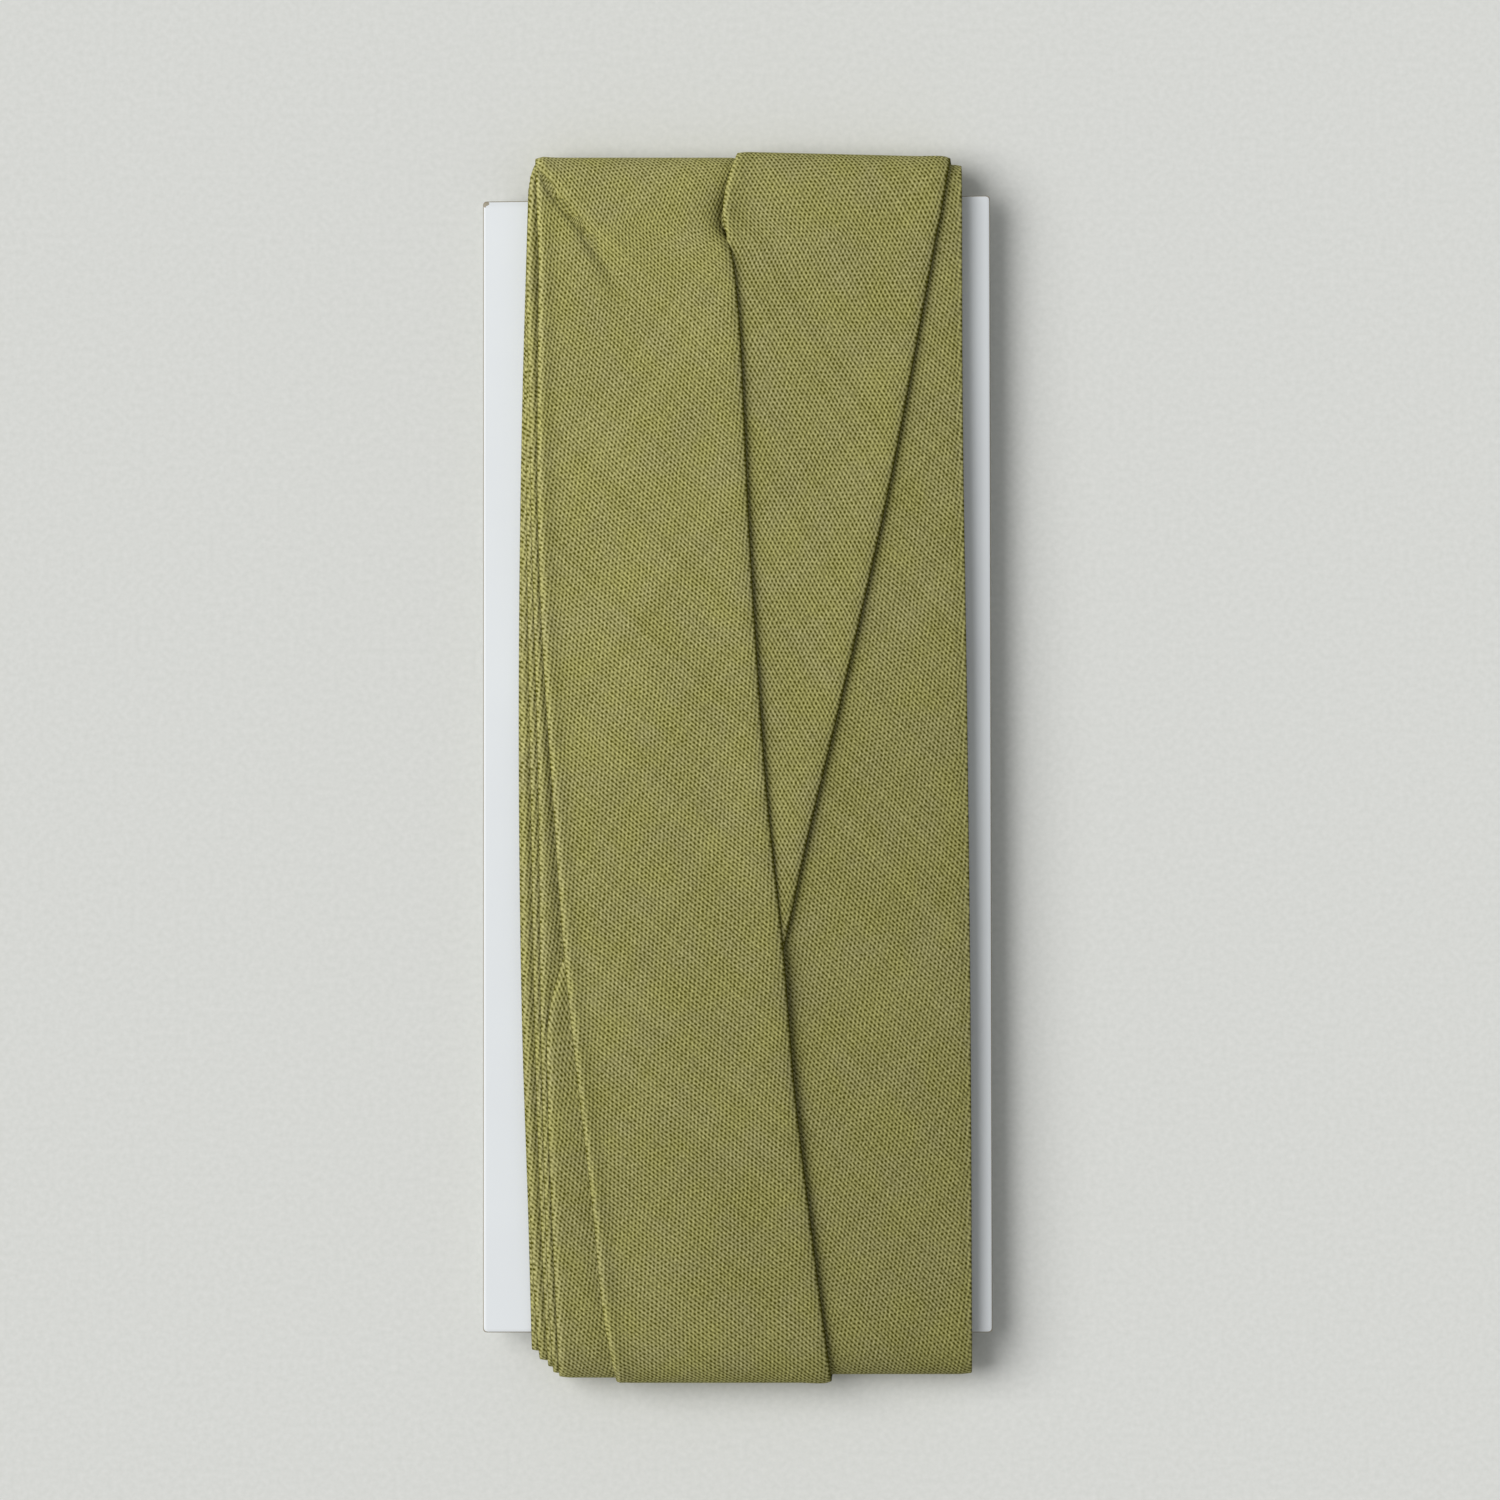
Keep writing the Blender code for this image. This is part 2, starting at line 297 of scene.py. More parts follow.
def right_pile():
    """The right pile's turns, whose folds reach further from one to the next."""
    turns = []
    for k, (inset, spacing) in enumerate(zip(RIGHT_PILE_INSETS, RIGHT_PILE_SPACINGS)):
        shorter = RIGHT_PILE_STEP * (len(RIGHT_PILE_INSETS) - 1 - k)
        rows = []
        for row in RIGHT_OUTER_ROWS:
            beyond_card = abs(row.along) > TOP_TURN
            along = row.along - math.copysign(shorter, row.along) if beyond_card else row.along
            rows.append(Row(along, row.left - inset, row.right - inset))
        turns.append(Front(f"right_turn_{k + 1}", tuple(rows), top_lean=0.0, spacing=spacing))
    return tuple(turns)


RIGHT_PILE = right_pile()
FRONTS = (*LEFT_PILE, *RIGHT_PILE, CROSSING_PASS, LAST_PASS)


def join_behind():
    """The passes behind the card, in the order of winding: one before each pass over the face, and
    the tail."""
    backs = []
    for below, above in zip((None, *FRONTS), (*FRONTS, None)):
        bow = BACK_BOWS.get(above.name, 0.0) if above else 0.0
        backs.append(Back(below, above, bow))
    return tuple(backs)


BACKS = join_behind()


def back_ends(back):
    """Where a pass behind the card starts and ends along it."""
    start = back.below.rows[-1].along if back.below else TAPE_START_ALONG
    end = back.above.rows[0].along if back.above else BOTTOM_TURN + TAIL_LENGTH
    return start, end


def edge_from_fold(at_fold, next_row, column, beyond):
    """An edge behind the card, by its distance beyond a fold. It keeps the fold's lean for a while."""
    place = getattr(at_fold, column)
    slope = (getattr(next_row, column) - place) / (next_row.along - at_fold.along)
    return place - slope * beyond * np.exp(-np.abs(beyond) / LEAN_FADE)


def back_edge(back, column, along):
    """An edge of a pass behind the card, from one fold to the other."""
    low, high = back_ends(back)
    climb = smoothstep(low, high, along)
    if back.below:
        start = edge_from_fold(back.below.rows[-1], back.below.rows[-2], column, along - low)
    if back.above:
        end = edge_from_fold(back.above.rows[0], back.above.rows[1], column, along - high)
    if not back.below:
        return end
    if not back.above:
        return start
    return start + (end - start) * climb + 4 * back.bow * climb * (1 - climb)


def both_edges(front, along):
    """The left and the right edge of a pass over the face."""
    return [float(edge_at(front.rows, column, along)) for column in ("left", "right")]


def both_back_edges(back, along):
    """The left and the right edge of a pass behind the card."""
    return [float(back_edge(back, column, along)) for column in ("left", "right")]


def spread(heights, reach):
    """The highest value within reach of each grid point, in a disc that is rounded up a little."""
    cells = int(round(reach / GRID_STEP))
    wide = np.pad(heights, cells, mode="edge")
    rows, columns = heights.shape
    result = heights.copy()
    for i in range(-cells, cells + 1):
        for j in range(-cells, cells + 1):
            if i * i + j * j <= cells * cells + 1:
                shifted = wide[cells + i:cells + i + rows, cells + j:cells + j + columns]
                result = np.maximum(result, shifted)
    return result


def soften(heights, radius):
    """A Gaussian blur of the grid."""
    cells = int(math.ceil(3 * radius / GRID_STEP))
    places = np.arange(-cells, cells + 1) * GRID_STEP
    weights = np.exp(-places ** 2 / (2 * radius ** 2))
    weights /= weights.sum()
    for axis in (0, 1):
        margins = [(cells, cells) if axis == side else (0, 0) for side in (0, 1)]
        wide = np.pad(heights, margins, mode="edge")
        count = heights.shape[axis]
        heights = sum(w * np.take(wide, range(k, k + count), axis=axis) for k, w in enumerate(weights))
    return heights


def grid_value(grid, x, y):
    """The grid's value between its points. Places beyond it are taken just inside its last cell."""
    across = np.clip((x - GRID_X[0]) / GRID_STEP, 0, len(GRID_X) - 1.001)
    along = np.clip((y - GRID_Y[0]) / GRID_STEP, 0, len(GRID_Y) - 1.001)
    i, j = across.astype(int), along.astype(int)
    a, b = across - i, along - j
    near = grid[j, i] * (1 - a) + grid[j, i + 1] * a
    far = grid[j + 1, i] * (1 - a) + grid[j + 1, i + 1] * a
    return near * (1 - b) + far * b


def footprint(left, right):
    """How much of each grid cell lies between two edges, which are given for each grid row."""
    inside_left = np.clip((GRID_X[None, :] - left[:, None]) / GRID_STEP + 0.5, 0, 1)
    inside_right = np.clip((right[:, None] - GRID_X[None, :]) / GRID_STEP + 0.5, 0, 1)
    return inside_left * inside_right


def front_cover(front):
    """The grid cells that a pass over the face covers."""
    return footprint(edge_at(front.rows, "left", GRID_Y), edge_at(front.rows, "right", GRID_Y))


def back_cover(back):
    """The grid cells that a pass behind the card covers."""
    low, high = back_ends(back)
    present = ((GRID_Y >= low) & (GRID_Y <= high))[:, None]
    return footprint(back_edge(back, "left", GRID_Y), back_edge(back, "right", GRID_Y)) * present


def lifted(cover, drape):
    """How far a tape laid over a cover is lifted at each grid point, from 0 to 1."""
    return soften(spread(cover, drape.reach), drape.softness)


def level(turns):
    """The height of the outer face of a turn over the card's face, by its number from the card up."""
    squeeze = (SQUEEZE_AT_ENDS * (GRID_Y[:, None] / PILE_HALF_LENGTH) ** 2
               + SQUEEZE_AT_SIDES * (GRID_X[None, :] / PILE_HALF_WIDTH) ** 2)
    return FRONT_START + TURN_PITCH * turns * (1 - squeeze)


def lay_fronts():
    """The outer surface of each pass over the card's face: two piles side by side, then the two
    passes that cross them, of which each lies over the other on a stretch of its own."""
    pile = [level(turns) for turns in range(1, len(LEFT_PILE) + 1)]
    crossed = len(pile) + 1
    climbed = smoothstep(*CLIMB, GRID_Y)[:, None]
    last_lift = lifted(front_cover(CROSSING_PASS), LAST_OVER_CROSSING) * climbed
    crossing_lift = lifted(front_cover(LAST_PASS), CROSSING_OVER_LAST) * (1 - climbed)
    return [*pile, *pile, level(crossed + crossing_lift), level(crossed + last_lift)]


def lay_backs():
    """The outer surface of each pass behind the card. They share the room down to the flat underside.
    From the card outwards they lie in the order of winding, but in the upper half the two last whole
    ones change places."""
    covers = [back_cover(back) for back in BACKS]
    count = len(covers)
    lower_order = list(range(count))
    upper_order = [*range(count - 3), count - 2, count - 3, count - 1]
    upper_half = (GRID_Y > 0)[:, None]
    surfaces = []
    for k in range(count):
        shares = []
        for order in (lower_order, upper_order):
            place = order.index(k)
            inside = sum((covers[j] for j in order[:place]), np.zeros_like(covers[0]))
            outside = sum((covers[j] for j in order[place + 1:]), np.zeros_like(covers[0]))
            shares.append((inside, outside))
        inside, outside = (np.where(upper_half, up, low) for low, up in zip(*shares))
        below = lifted(inside, BEHIND_CARD) + 1
        above = lifted(outside, BEHIND_CARD)
        surfaces.append(BACK_DEPTH * above / (above + below))
    return surfaces


# A point of the tape's section: its place across the tape, its depth under the outer face, and
# its place across the flat strip before the edges were folded.
SectionPoint = namedtuple("SectionPoint", "across depth flat")


def half_section(outer):
    """The right half of the folded strip's outer or inner face, from the middle to the raw edge."""
    depth = 0.0 if outer else PLY_THICKNESS
    radius = EDGE_RADIUS - depth
    columns = TOP_COLUMNS // 2 if outer else INNER_COLUMNS // 2
    steps = EDGE_STEPS if outer else INNER_EDGE_STEPS
    straight = HALF_WIDTH - EDGE_RADIUS
    level_part = straight - EDGE_DROP_WIDTH
    ply_radius = EDGE_RADIUS - PLY_THICKNESS / 2
    places = [level_part * k / columns for k in range(columns)]
    places += [level_part + EDGE_DROP_WIDTH * k / EDGE_COLUMNS for k in range(EDGE_COLUMNS)]
    points = []
    for across in places:
        drop = EDGE_DROP * max(0.0, (across - level_part) / EDGE_DROP_WIDTH) ** 2
        points.append(SectionPoint(across, depth + drop, across))
    for k in range(steps + 1):
        angle = math.pi * k / steps
        across = straight + radius * math.sin(angle) ** EDGE_SQUARENESS
        height = math.copysign(radius * abs(math.cos(angle)) ** EDGE_SQUARENESS, math.cos(angle))
        flat = straight + ply_radius * angle
        points.append(SectionPoint(across, TAPE_THICKNESS - EDGE_RADIUS - height, flat))
    flap = FLAP_WIDTH - EDGE_RADIUS
    for k in range(1, FLAP_COLUMNS + 1):
        run = flap * k / FLAP_COLUMNS
        flat = straight + ply_radius * math.pi + run
        points.append(SectionPoint(straight - run, TAPE_THICKNESS - depth, flat))
    return points


def tape_section():
    """The closed outline of the folded strip, over the outer face from right to left and back inside."""
    outer, inner = half_section(True), half_section(False)
    mirrored = [[SectionPoint(-p.across, p.depth, -p.flat) for p in half[1:]] for half in (outer, inner)]
    points = [*reversed(outer), *mirrored[0], *reversed(mirrored[1]), *inner]
    return SectionPoint(*(np.array(values) for values in zip(*points)))


SECTION = tape_section()


def hollow_values(hollows, along):
    """A hollow's middle, depth and width at places along the card."""
    places = [hollow.along for hollow in reversed(hollows)]
    return [np.interp(along, places, [getattr(hollow, column) for hollow in reversed(hollows)])
            for column in ("across", "depth", "width")]


def right_roll(inside, drop, width):
    """How far an edge has rolled down, by the distance inside it."""
    return drop * np.clip(1 - inside / width, 0, 1) ** 2


def right_curl(rows, x, y):
    """How far a pass curls up at the right, less its roll."""
    inside = edge_at(rows, "right", y) - x
    curl = RIGHT_CURL * np.exp(-(inside / RIGHT_CURL_WIDTH) ** 2)
    return curl - right_roll(inside, RIGHT_ROLL, RIGHT_ROLL_WIDTH)


def right_pile_relief(x, y):
    """The relief of the right pile's outer turn."""
    inside = edge_at(RIGHT_PILE[-1].rows, "right", y) - x
    return -right_roll(inside, PILE_ROLL, PILE_ROLL_WIDTH)


def left_ridge(rows, ridge, x, y):
    """How far a pass springs up along its left edge."""
    offset = x - edge_at(rows, "left", y) - ridge.inside
    width = np.where(offset < 0, ridge.outwards, ridge.inwards)
    return ridge.height * np.exp(-(offset / width) ** 2)


def crossing_relief(x, y):
    """The relief of the crossing pass: a ridge where its left edge shows, a curl and a dent."""
    shows_above = smoothstep(*CROSSING_SHOWS_ABOVE, y)
    shows_below = smoothstep(*CROSSING_SHOWS_BELOW, y)
    rows = CROSSING_PASS.rows
    ridge = left_ridge(rows, CROSSING_RIDGE, x, y) * (shows_above + shows_below)
    offset = x - edge_at(LAST_PASS.rows, "left", y)
    dent = DENT_DEPTH * np.exp(-(offset / DENT_WIDTH) ** 2) * shows_below
    curl = right_curl(rows, x, y) * (1 - smoothstep(*CROSSING_PRESSED_FLAT, y))
    return curl + ridge - dent


def tuck_depth(x, y):
    """How deep the tuck is pressed, steepest at its line."""
    line, depth, width = hollow_values(TUCK, y)
    return depth * np.exp(-np.abs(x - line) / width)


def last_pass_relief(x, y):
    """How far the last pass rises over its even surface: a crease down from its top left corner,
    steep on the left and gentle on the right, and a valley down to the tuck under the crossing pass."""
    line, depth, width = hollow_values(CREASE, y)
    offset = x - line
    side = np.where(offset < 0, width, CREASE_GENTLE_SIDE * width)
    crease = -depth * np.exp(-(offset / side) ** 2)
    swell = CREASE_SWELL * depth * np.exp(-(offset / CREASE_SWELL_WIDTH) ** 2)
    rows = LAST_PASS.rows
    curl = right_curl(rows, x, y) * smoothstep(*CLIMB, y)
    return crease + swell - tuck_depth(x, y) + curl + left_ridge(rows, LAST_PASS_RIDGE, x, y)


def pile_relief(k):
    """The relief of one turn of the left pile: it arches down from its ridge to the next edge over it,
    and gives way under the tuck."""
    rows = LEFT_PILE[k].rows
    over = LEFT_PILE[k + 1:k + 2] or (CROSSING_PASS, LAST_PASS)

    def relief(x, y):
        offset = x - edge_at(rows, "left", y) - LEFT_PILE_INSIDE
        next_edge = np.minimum.reduce([edge_at(front.rows, "left", y) for front in over])
        fall = np.clip(next_edge - x + offset, *LEFT_PILE_FALL)
        height = LEFT_PILE_HEIGHTS[k] * np.clip(fall / LEFT_PILE_FULL_FALL, LEFT_PILE_LOWEST_SHARE, 1.0)
        arch = np.maximum(0.0, 1 - (offset / fall) ** 2)
        ridge = height * np.where(offset < 0, np.exp(-(offset / LEFT_PILE_OUTWARDS) ** 2), arch)
        return ridge - tuck_depth(x, y) * (k + 1) / (len(LEFT_PILE) + 1)
    return relief


RELIEFS = {
    LAST_PASS.name: last_pass_relief,
    CROSSING_PASS.name: crossing_relief,
    RIGHT_PILE[-1].name: right_pile_relief,
    **{front.name: pile_relief(k) for k, front in enumerate(LEFT_PILE)},
}


# A station: one section placed in space, its places across the flat strip, and the tape's middle.
Station = namedtuple("Station", "x y z flat middle_x middle_y middle_z")
SECTION_CENTRE = len(half_section(True)) - 1


def across_points(left, right, crease_place=None):
    """The middle between two edges, and where the section's points lie across the card and the flat
    strip. Points near a crease are drawn together on it, so that the mesh follows its line."""
    middle = (left + right) / 2
    across = SECTION.across
    if crease_place is not None:
        offset = across - (crease_place - middle)
        inside = smoothstep(*CREASE_GATHER_INSIDE, HALF_WIDTH - np.abs(across))
        across = across - CREASE_GATHER * offset * np.exp(-(offset / CREASE_GATHER_WIDTH) ** 2) * inside
    flat = SECTION.flat + (across - SECTION.across)
    return middle, middle + across * (right - left) / TAPE_WIDTH, flat


def placed(x, flat, middle, surface_y, surface_z, facing_y, facing_z):
    """A station from its outer surface and the direction that it faces at each section point."""
    y = surface_y - SECTION.depth * facing_y
    z = surface_z - SECTION.depth * facing_z
    middle_y, middle_z = float(surface_y[SECTION_CENTRE]), float(surface_z[SECTION_CENTRE])
    return Station(x, y, z, flat, middle, middle_y, middle_z)


def flat_station(along, edges, surface, facing, relief=None, crease_place=None):
    """A station on the face, facing up at 1, or behind the card, facing down at -1."""
    middle, x, flat = across_points(*edges, crease_place)
    y = np.full_like(x, along)
    z = grid_value(surface, x, y)
    if relief:
        z = z + relief(x, y)
    return placed(x, flat, middle, y, z, np.zeros_like(x), np.full_like(x, facing))


def crease_at(front, along):
    """Where the crease of the last pass lies across the card, or None for the other passes."""
    return float(hollow_values(CREASE, along)[0]) if front is LAST_PASS and along > CREASE_FOOT else None


def fold_station(angle, at_top, front, back, front_surface, back_surface, relief=None):
    """A station on the half ellipse from the face, at angle 0, round a card's end to the back."""
    turn = TOP_TURN if at_top else BOTTOM_TURN
    side = 1 if at_top else -1
    tip = front.rows[0 if at_top else -1].along
    along = turn + (tip - turn) * math.sin(angle)
    on_face = angle <= math.pi / 2
    left, right = both_edges(front, along) if on_face else both_back_edges(back, along)
    middle, x, flat = across_points(left, right, crease_at(front, along) if on_face else None)
    lean = front.top_lean if at_top else 0.0
    reach = abs(tip - turn) - lean * (x - middle) / TAPE_WIDTH
    turn_line = np.full_like(x, turn)
    front_z = grid_value(front_surface, x, turn_line)
    back_z = grid_value(back_surface, x, turn_line)
    half = (front_z - back_z) / 2
    y = reach * math.sin(angle)
    z = half * math.cos(angle)
    facing_y, facing_z = half * math.sin(angle), reach * math.cos(angle)
    length = np.hypot(facing_y, facing_z)
    facing_y, facing_z = side * facing_y / length, facing_z / length
    y, z = turn + side * y, (front_z + back_z) / 2 + z
    if relief and on_face:
        raised = relief(x, y) * math.sqrt(max(0.0, math.cos(angle)))
        y, z = y + raised * facing_y, z + raised * facing_z
    return placed(x, flat, middle, y, z, facing_y, facing_z)


def runs(start, end, spacing):
    """Places from a start to an end, about a spacing apart."""
    count = max(2, int(round(abs(end - start) / spacing)))
    return np.linspace(start, end, count + 1)


def places_along(front):
    """Where the sections of a pass lie on the card's face, from the top down."""
    if not front.fine_spacing:
        return runs(TOP_TURN, BOTTOM_TURN, front.spacing)
    fine = runs(TOP_TURN, front.fine_down_to, front.fine_spacing)
    return np.concatenate((fine, runs(front.fine_down_to, BOTTOM_TURN, front.spacing)[1:]))


def fold_angles(steps):
    """The angles round a fold, without its two ends."""
    return np.linspace(0, math.pi, steps + 1)[1:-1]


def wind_tape(front_surfaces, back_surfaces):
    """All stations of the tape from its start behind the card to the end of its tail."""
    stations = []
    for k, back in enumerate(BACKS):
        low, high = back_ends(back)
        start = BOTTOM_TURN if back.below else low
        end = TOP_TURN if back.above else high
        for along in runs(start, end, BACK_SPACING):
            stations.append(flat_station(along, both_back_edges(back, along), back_surfaces[k], -1.0))
        front = back.above
        if not front:
            break
        relief = RELIEFS.get(front.name)
        fold_steps = FOLD_STEPS if front.spacing < COARSE_SPACING else HIDDEN_FOLD_STEPS
        top_steps = CREASED_FOLD_STEPS if front is LAST_PASS else fold_steps
        ends = (front, back, front_surfaces[k], back_surfaces[k])
        stations += [fold_station(angle, True, *ends, relief) for angle in fold_angles(top_steps)[::-1]]
        for along in places_along(front):
            edges = both_edges(front, along)
            crease_place = crease_at(front, along)
            stations.append(flat_station(along, edges, front_surfaces[k], 1.0, relief, crease_place))
        ends = (front, BACKS[k + 1], front_surfaces[k], back_surfaces[k + 1])
        stations += [fold_station(angle, False, *ends, relief) for angle in fold_angles(fold_steps)]
    return stations


def tape_mesh(stations):
    """One closed mesh through all stations, with a UV map in metres across and along the flat strip."""
    points = np.array([np.stack((s.x, s.y, s.z), axis=1) for s in stations])
    middles = np.array([(s.middle_x, s.middle_y, s.middle_z) for s in stations])
    steps = np.diff(middles, axis=0)
    lengths = np.linalg.norm(steps, axis=1)
    run = np.concatenate(([0.0], np.cumsum(lengths)))
    ahead, behind = (np.interp(run + reach, run, middles[:, 0]) for reach in (LEAN_REACH, -LEAN_REACH))
    sideways = (ahead - behind) / (2 * LEAN_REACH)
    count, ring = points.shape[:2]
    across = points[:, :, 0] - middles[:, :1]
    along = run[:, None] + across * sideways[:, None]
    flat = np.array([s.flat for s in stations])
    uv = np.stack((flat, along), axis=2).reshape(-1, 2) * METRES_PER_MM

    first = np.arange((count - 1) * ring).reshape(count - 1, ring)
    beside = np.roll(first, -1, axis=1)
    quads = np.stack((first, beside, beside + ring, first + ring), axis=2).reshape(-1, 4)
    faces = quads.tolist()
    faces.append(list(range(ring - 1, -1, -1)))
    faces.append(list(range((count - 1) * ring, count * ring)))

    mesh = bpy.data.meshes.new("binding_tape")
    mesh.from_pydata((points.reshape(-1, 3) * METRES_PER_MM).tolist(), [], faces)
    loop_points = np.empty(len(mesh.loops), dtype=np.int32)
    mesh.loops.foreach_get("vertex_index", loop_points)
    layer = mesh.uv_layers.new(name="flat_strip")
    layer.data.foreach_set("uv", uv[loop_points].astype(np.float32).ravel())
    mesh.shade_smooth()
    mesh.set_sharp_from_angle(angle=TAPE_SHARP_ANGLE)
    mesh.update()
    return mesh, float(run[-1])


def link(name, data):
    """Puts an object with this data in the scene."""
    made = bpy.data.objects.new(name, data)
    bpy.context.scene.collection.objects.link(made)
    return made


def add(tree, kind, *inputs, named=None, **settings):
    """Adds a node with its settings, fills or links the inputs that it shows, and gives its output."""
    made = tree.nodes.new(kind)
    for name, value in settings.items():
        setattr(made, name, value)
    shown = [socket for socket in made.inputs if socket.enabled]
    places = {**dict(enumerate(shown)), **{socket.name: socket for socket in reversed(shown)}}
    for key, value in [*enumerate(inputs), *(named or {}).items()]:
        if isinstance(value, bpy.types.NodeSocket):
            tree.links.new(value, places[key])
        else:
            places[key].default_value = value
    return next(socket for socket in made.outputs if socket.enabled)


def new_material(name, roughness, ior):
    """A material with its tree and its Principled shader."""
    material = bpy.data.materials.new(name)
    material.use_nodes = True
    shader = material.node_tree.nodes["Principled BSDF"]
    shader.inputs["Roughness"].default_value = roughness
    shader.inputs["IOR"].default_value = ior
    return material, material.node_tree, shader


# The weave: two sets of threads on the bias. Each has its real spacing, 60 and 89 threads to the
# inch, the direction across its threads in the flat strip, where 0 is across the tape and 90 along
# it, and how far it wanders, in threads. The reliefs are how high the ribs and the weft stand.
Threads = namedtuple("Threads", "spacing direction wander")
WARP = Threads(0.42, math.radians(-44), 0.9)
WEFT = Threads(0.286, math.radians(41.4), 1.1)
RIB_RELIEF = 0.02
WEFT_RELIEF = 0.027

# Noise scales per metre. The threads wander over about 4 mm, the pits between them change from one to
# the next, the dye is patchy over about 11 mm and handled places lie 5 mm apart. Real fibres are
# finer than the render shows, so they are drawn as tufts of about 0.3 mm.
WANDER_SCALE = 260.0
PIT_SCALE = 1300.0
PATCH_SCALE = 90.0
HANDLED_SCALE = 210.0
TUFT_SCALE = 3600.0
# How strong the pits between the threads are, from the weakest to the strongest.
PIT_STRENGTH = (0.3, 1.8)
# The middle of a noise's range, in which most of its values lie.
NOISE_MIDDLE = (0.3, 0.7)
HANDLED_MIDDLE = (0.35, 0.65)

# The dyed cotton's colour runs from dark at 0 to pale at 1. Its lightness starts from a base, to
# which each feature of the weave adds its own share.
COTTON_DARK = "#524f0c"
COTTON_PALE = "#d0cb89"
BASE_LIGHTNESS = 0.1
# The grooves and the pits are darkened with painted shade, for the shade between the threads.
GROOVE_LIGHTNESS = -0.56
PIT_LIGHTNESS = -0.2
THREAD_LIGHTNESS = 0.07
PATCH_LIGHTNESS = 0.12
TUFT_LIGHTNESS = 0.9
# Bands along the folded edges, by their place across the flat strip: rubbed pale, which also paints in
# part of the highlight on the lit left edges, and painted shade in the bend. The crossing pass and the
# last one take a deeper painted shade on their right edges' rounded sides, which face away from the
# light. It is the end of the strip, from a place along it in metres that lies behind the card.
Band = namedtuple("Band", "middle reach lightness")
EDGE_PALE_AND_SHADE_BANDS = (Band(HALF_WIDTH - 0.4, 0.35, 0.15), Band(HALF_WIDTH, 0.22, -0.5))
RIGHT_EDGE_SHADE = Band(HALF_WIDTH + 0.05, 0.36, -1.0)
RIGHT_EDGE_SHADE_FROM = 2.27
# Where it was handled most the cloth is a shade greyer, and elsewhere yellower.
COTTON_YELLOWER = (1.0, 1.0, 0.91, 1.0)
COTTON_GREYER = (1.0, 0.99, 1.08, 1.0)

# How much painted shade the cloth takes per metre across and along the card: it is painted a little
# darker towards the right and the bottom, as the light falls off.
PAINTED_FALLOFF_ACROSS = -4.0
PAINTED_FALLOFF_ALONG = 1.4


def thread_set(tree, place, wander, threads):
    """One set of threads over the flat strip: half a turn for each thread, and a tone of its own."""
    per_metre = 1 / (threads.spacing * METRES_PER_MM)
    across = (math.cos(threads.direction) * per_metre, math.sin(threads.direction) * per_metre, 0.0)
    count = add(tree, "ShaderNodeVectorMath", place, across, operation="DOT_PRODUCT")
    count = add(tree, "ShaderNodeMath", wander, threads.wander, count, operation="MULTIPLY_ADD")
    half_turns = add(tree, "ShaderNodeMath", count, math.pi, operation="MULTIPLY")
    nearest = add(tree, "ShaderNodeMath", count, operation="ROUND")
    tone = add(tree, "ShaderNodeTexWhiteNoise", nearest, noise_dimensions="1D")
    return half_turns, tone


def mapped(values, results):
    """The inputs that map one range on another."""
    return {"From Min": values[0], "From Max": values[1], "To Min": results[0], "To Max": results[1]}


def band_share(tree, across, band):
    """How much of a band's tone each place across the strip takes."""
    beside = add(tree, "ShaderNodeMath", across, band.middle * METRES_PER_MM, operation="SUBTRACT")
    beside = add(tree, "ShaderNodeMath", beside, operation="ABSOLUTE")
    reach = band.reach * METRES_PER_MM
    return add(tree, "ShaderNodeMapRange", beside, named=mapped((0.0, reach), (1.0, 0.0)))


def weave(tree, place):
    """The weave's relief in millimetres, and its features with what each adds to the lightness. The warp
    stands in ribs, and the finer weft dives between them, so that each groove is a row of pits. The
    darkness of the grooves and pits is painted shade, for the shade that falls between the threads."""
    wander = add(tree, "ShaderNodeTexNoise", place,
                 named={"Scale": WANDER_SCALE, "Detail": 3.0, "Roughness": 0.6})
    wander = add(tree, "ShaderNodeMath", wander, 0.5, operation="SUBTRACT")
    warp, warp_tone = thread_set(tree, place, wander, WARP)
    weft, weft_tone = thread_set(tree, place, wander, WEFT)
    warp_sine = add(tree, "ShaderNodeMath", warp, operation="SINE")
    warp_cosine = add(tree, "ShaderNodeMath", warp, operation="COSINE")
    weft_cosine = add(tree, "ShaderNodeMath", weft, operation="COSINE")
    groove = add(tree, "ShaderNodeMath", warp_sine, warp_sine, operation="MULTIPLY")
    climb = add(tree, "ShaderNodeMath", warp_cosine, weft_cosine, operation="MULTIPLY")
    dive = add(tree, "ShaderNodeMath", warp_sine, weft_cosine, operation="MULTIPLY")

    ribs = add(tree, "ShaderNodeMath", groove, -2 * RIB_RELIEF, operation="MULTIPLY")
    height = add(tree, "ShaderNodeMath", climb, WEFT_RELIEF, ribs, operation="MULTIPLY_ADD")
    uneven = add(tree, "ShaderNodeTexNoise", place, named={"Scale": PIT_SCALE, "Detail": 2.0})
    strength = add(tree, "ShaderNodeMapRange", uneven, named=mapped(NOISE_MIDDLE, PIT_STRENGTH))
    pits = add(tree, "ShaderNodeMath", dive, strength, operation="MULTIPLY")
    features = [
        (groove, GROOVE_LIGHTNESS),
        (pits, PIT_LIGHTNESS),
        (warp_tone, THREAD_LIGHTNESS),
        (weft_tone, THREAD_LIGHTNESS),
    ]
    return height, features


